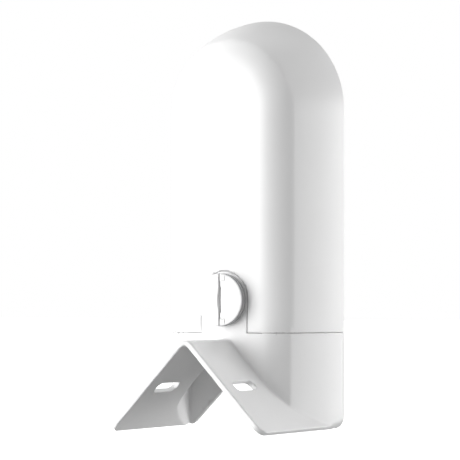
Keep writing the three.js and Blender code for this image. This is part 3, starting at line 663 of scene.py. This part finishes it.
def noise(tree, scale, detail):
    place_of = tree.nodes.new("ShaderNodeTexCoord")
    texture = tree.nodes.new("ShaderNodeTexNoise")
    texture.inputs["Scale"].default_value = scale
    texture.inputs["Detail"].default_value = detail
    tree.links.new(place_of.outputs["Object"], texture.inputs["Vector"])
    return texture.outputs["Fac"]


def spread(tree, source, low, high):
    """Maps a noise onto a range of values."""
    node = tree.nodes.new("ShaderNodeMapRange")
    node.inputs["From Min"].default_value = 0.3
    node.inputs["From Max"].default_value = 0.7
    node.inputs["To Min"].default_value = low
    node.inputs["To Max"].default_value = high
    tree.links.new(source, node.inputs["Value"])
    return node.outputs["Result"]


def tinted(tree, source, dark, light):
    ramp = tree.nodes.new("ShaderNodeValToRGB")
    ramp.color_ramp.elements[0].position = 0.35
    ramp.color_ramp.elements[1].position = 0.65
    ramp.color_ramp.elements[0].color = (*dark, 1)
    ramp.color_ramp.elements[1].color = (*light, 1)
    tree.links.new(source, ramp.inputs["Fac"])
    return ramp.outputs["Color"]


def surface(name, dark, light, rough, patch=60, grain=900, bump=0.02, metallic=0.0):
    """A shader whose colour, gloss and relief all vary a little over the piece."""
    mat = bpy.data.materials.new(name)
    mat.use_nodes = True
    tree = mat.node_tree
    shader = tree.nodes["Principled BSDF"]
    shader.inputs["Metallic"].default_value = metallic
    broad = noise(tree, patch, 3)
    tree.links.new(tinted(tree, broad, dark, light), shader.inputs["Base Color"])
    tree.links.new(spread(tree, noise(tree, patch * 4, 4), *rough), shader.inputs["Roughness"])
    relief = tree.nodes.new("ShaderNodeBump")
    relief.inputs["Strength"].default_value = bump
    relief.inputs["Distance"].default_value = 0.0002
    tree.links.new(noise(tree, grain, 2), relief.inputs["Height"])
    tree.links.new(relief.outputs["Normal"], shader.inputs["Normal"])
    return mat


def paint_knob_side_shade(mat, dark, light):
    """Paints shade onto the side band of the lock screw's head: a darker grey than the face, chosen by
    distance from the axis, standing in for the shade on that side.
    """
    tree = mat.node_tree
    place_of = tree.nodes.new("ShaderNodeTexCoord")
    flat = tree.nodes.new("ShaderNodeVectorMath")
    flat.operation = "MULTIPLY"
    flat.inputs[1].default_value = (1, 0, 1)
    apart = tree.nodes.new("ShaderNodeVectorMath")
    apart.operation = "DISTANCE"
    apart.inputs[1].default_value = (0, 0, KNOB_Z * MM)
    tree.links.new(place_of.outputs["Object"], flat.inputs[0])
    tree.links.new(flat.outputs["Vector"], apart.inputs[0])
    # mask of the side band that gets the painted shade
    side_shade_mask = tree.nodes.new("ShaderNodeMapRange")
    side_shade_mask.inputs["From Min"].default_value = (KNOB_R - 0.22) * MM
    side_shade_mask.inputs["From Max"].default_value = (KNOB_R - 0.04) * MM
    tree.links.new(apart.outputs["Value"], side_shade_mask.inputs["Value"])
    shader = tree.nodes["Principled BSDF"]
    plain = shader.inputs["Base Color"].links[0].from_socket
    both = tree.nodes.new("ShaderNodeMix")
    both.data_type = "RGBA"
    tree.links.new(side_shade_mask.outputs["Result"], both.inputs["Factor"])
    tree.links.new(plain, both.inputs[6])
    # the darker grey here is painted shade on the side band, not a second colour of the screw
    tree.links.new(tinted(tree, noise(tree, 300, 3), dark, light), both.inputs[7])
    tree.links.new(both.outputs[2], shader.inputs["Base Color"])


def grey(value, spread_by=0.01):
    return (value - spread_by,) * 3, (value + spread_by,) * 3


def add_materials():
    made = {
        "casing": surface("casing_white", *grey(0.815, 0.006), (0.33, 0.39), bump=0.03),
        "knob": surface("knob_white", *grey(0.80, 0.006), (0.36, 0.42), grain=1500, bump=0.02),
        "rubber": surface("sealing_rubber", *grey(0.028, 0.006), (0.62, 0.8), bump=0.1),
        "steel": surface("plated_steel", *grey(0.52, 0.05), (0.24, 0.4), metallic=1.0),
        "brass": surface("brass", (0.55, 0.36, 0.12), (0.64, 0.44, 0.17), (0.26, 0.4), metallic=1.0),
        "tray": surface("tray_grey", *grey(0.04, 0.006), (0.5, 0.65), bump=0.08),
        "cell": surface("cell_sleeve", (0.03, 0.045, 0.06), (0.05, 0.065, 0.085), (0.25, 0.36)),
        "board": surface("solder_mask", (0.008, 0.09, 0.035), (0.012, 0.13, 0.05), (0.28, 0.4),
                         patch=500),
        "chip": surface("chip_black", *grey(0.014, 0.003), (0.45, 0.6), bump=0.06),
        "membrane": surface("membrane", *grey(0.78, 0.02), (0.75, 0.9), grain=3000, bump=0.3),
        "ribbon": surface("ribbon", *grey(0.25, 0.02), (0.45, 0.6)),
        "lead_red": surface("lead_red", (0.36, 0.012, 0.008), (0.46, 0.018, 0.012), (0.4, 0.5)),
        "lead_black": surface("lead_black", *grey(0.014, 0.003), (0.4, 0.5)),
        "clear": surface("light_guide", (0.72, 0.78, 0.82), (0.8, 0.85, 0.88), (0.06, 0.12)),
    }
    # the knob's side band gets a darker grey: painted shade for its shaded side
    paint_knob_side_shade(made["knob"], (0.33, 0.33, 0.34), (0.37, 0.37, 0.38))
    glass = made["clear"].node_tree.nodes["Principled BSDF"]
    glass.inputs["Transmission Weight"].default_value = 0.75
    return made


# ---------------------------------------------------------------- pieces


def slots():
    return {part["node"]: part["material_slot"] for part in frame["record"]["subparts"]}


def bodies():
    owners = frame["record"]["behaviour"]["bodies"]
    return {node: body for body, nodes in owners.items() for node in nodes}


def add_pieces(made):
    slot_of, body_of = slots(), bodies()
    plans = [
        ("bracket_moulding", "saddle_bracket", bracket_field, 0.38, 0.1),
        ("housing_shell", "rear_housing", housing_field, 0.4, 0.1),
        ("knob_head", "lock_knob", knob_field, 0.12, 0.03),
        ("knob_flip_tab", "flip_handle", tab_field, 0.12, 0.03),
        ("knob_stud", "lock_stud", stud_field, 0.2, 0.0),
        ("knob_seal", "knob_washer", washer_field, 0.13, 0.0),
        ("insert_brass", "threaded_insert", insert_field, 0.2, 0.0),
        ("cover_shell", "front_cover", cover_field, 0.5, 0.1),
        ("cover_seal", "cover_gasket", cover_gasket_field, 0.3, 0.0),
        ("window_guide", "light_pipe", pipe_field, 0.25, 0.0),
        ("tray_moulding", "battery_tray", tray_field, 0.35, 0.1),
        ("cell_left", "battery_cell_left", cell_field("battery_cell_left"), 0.35, 0.05),
        ("cell_right", "battery_cell_right", cell_field("battery_cell_right"), 0.35, 0.05),
        ("leaf_contact", "contact_leaf", contact_leaf_field, 0.13, 0.0),
        ("door_panel", "battery_door", door_field, 0.25, 0.05),
        ("door_seal", "battery_door_gasket", door_gasket_field, 0.2, 0.0),
        ("door_strip", "door_contact", door_contact_field, 0.15, 0.0),
        ("board_main", "main_circuit_board", board_field, 0.35, 0.1),
        ("shield_can", "radio_shield", shield_field, 0.2, 0.05),
        ("board_sensor", "sensor_board", boxed("sensor_board", 0.15), 0.2, 0.0),
        ("chip_humidity", "humidity_sensor", boxed("humidity_sensor", 0.2), 0.12, 0.0),
        ("patch_membrane", "vent_membrane", membrane_field, 0.12, 0.0),
        ("switch_pairing", "pairing_switch", switch_field, 0.12, 0.0),
        ("button_pairing", "pairing_button", button_field, 0.14, 0.0),
    ]
    for i in range(1, 5):
        node = f"board_screw_{i}"
        plans.append((f"screw_board_{i}", node, screw_field(node, 1, 1), 0.1, 0.0))
    for side in ("left", "right"):
        node = f"door_screw_{side}"
        plans.append((f"screw_door_{side}", node, screw_field(node, 2, -1), 0.1, 0.0))
    for name, node, field, cell, adaptivity in plans:
        piece = moulded(name, field, box_mm(node), cell, adaptivity)
        piece.data.materials.append(made[slot_of[node]])
        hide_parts(node)
        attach(piece, body_of[node])
    box = (board_low * (1, 0, 1) + (0, board_high[1], 0), board_high + (0, 1.4, 0))
    parts = moulded("board_parts", parts_field, box, 0.2, 0.05)
    parts.data.materials.append(made["chip"])
    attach(parts, "sensor_unit")
    for node, obj in frame["nodes"].items():
        if not obj.hide_render:
            obj.data.materials.clear()
            obj.data.materials.append(made[slot_of[node]])


# ---------------------------------------------------------------- studio

LIGHT_DISTANCE = 1.5
AMBIENT_ABOVE = 0.444
AMBIENT_BELOW = 0.284
LIGHTS = [
    # name, degrees round from the back towards +X, degrees up, width in metres, watts
    ("key", -40, 6, 1.8, 25.0),
    ("key_side", -75, 10, 1.8, 20.0),
    ("rim", 137, 0, 0.8, 9.6),
    ("rim_side", 110, -5, 0.8, 5.6),
    ("rim_high", 165, 25, 0.6, 0.7),
    ("top", 180, 70, 0.8, 1.4),
]


def add_light(name, azimuth, up, width, watts):
    data = bpy.data.lights.new(name, "AREA")
    data.shape = "DISK"
    data.size = width
    data.energy = watts
    light = bpy.data.objects.new(name, data)
    a, e = math.radians(azimuth), math.radians(up)
    away = Vector((math.sin(a) * math.cos(e), -math.cos(a) * math.cos(e), math.sin(e)))
    light.location = away * LIGHT_DISTANCE + Vector((0, 0, 0.075))
    light.rotation_euler = away.to_track_quat("Z", "Y").to_euler()
    bpy.context.scene.collection.objects.link(light)


def add_world():
    """A white backdrop whose light on the object is dimmer than it looks."""
    world = bpy.data.worlds.new("studio")
    bpy.context.scene.world = world
    world.use_nodes = True
    tree = world.node_tree
    ambient = tree.nodes["Background"]
    ambient.inputs["Color"].default_value = (1, 1, 1, 1)
    towards = tree.nodes.new("ShaderNodeTexCoord")
    parts = tree.nodes.new("ShaderNodeSeparateXYZ")
    level = tree.nodes.new("ShaderNodeMapRange")
    level.inputs["From Min"].default_value = -0.2
    level.inputs["From Max"].default_value = 0.2
    level.inputs["To Min"].default_value = AMBIENT_BELOW
    level.inputs["To Max"].default_value = AMBIENT_ABOVE
    tree.links.new(towards.outputs["Generated"], parts.inputs["Vector"])
    tree.links.new(parts.outputs["Z"], level.inputs["Value"])
    tree.links.new(level.outputs["Result"], ambient.inputs["Strength"])
    backdrop = tree.nodes.new("ShaderNodeBackground")
    backdrop.inputs["Color"].default_value = (1, 1, 1, 1)
    path = tree.nodes.new("ShaderNodeLightPath")
    mix = tree.nodes.new("ShaderNodeMixShader")
    tree.links.new(path.outputs["Is Camera Ray"], mix.inputs["Fac"])
    tree.links.new(ambient.outputs["Background"], mix.inputs[1])
    tree.links.new(backdrop.outputs["Background"], mix.inputs[2])
    tree.links.new(mix.outputs["Shader"], tree.nodes["World Output"].inputs["Surface"])


def add_floor():
    """A pale floor that reads as white and throws no light up under the object."""
    half = 3.0
    mesh = bpy.data.meshes.new("floor")
    corners = [(-half, -half, 0), (half, -half, 0), (half, half, 0), (-half, half, 0)]
    mesh.from_pydata(corners, [], [(0, 1, 2, 3)])
    mat = bpy.data.materials.new("floor_white")
    mat.use_nodes = True
    shader = mat.node_tree.nodes["Principled BSDF"]
    shader.inputs["Base Color"].default_value = (0.9, 0.9, 0.9, 1)
    shader.inputs["Roughness"].default_value = 0.9
    shader.inputs["Emission Color"].default_value = (1, 1, 1, 1)
    shader.inputs["Emission Strength"].default_value = 1.0
    mesh.materials.append(mat)
    floor = bpy.data.objects.new("floor", mesh)
    floor.location.z = -0.0005
    floor.visible_diffuse = False
    floor.visible_glossy = False
    floor.visible_shadow = False
    bpy.context.scene.collection.objects.link(floor)


add_camera()
add_pieces(add_materials())
add_world()
add_floor()
for light in LIGHTS:
    add_light(*light)
bpy.context.scene.view_settings.view_transform = "Standard"
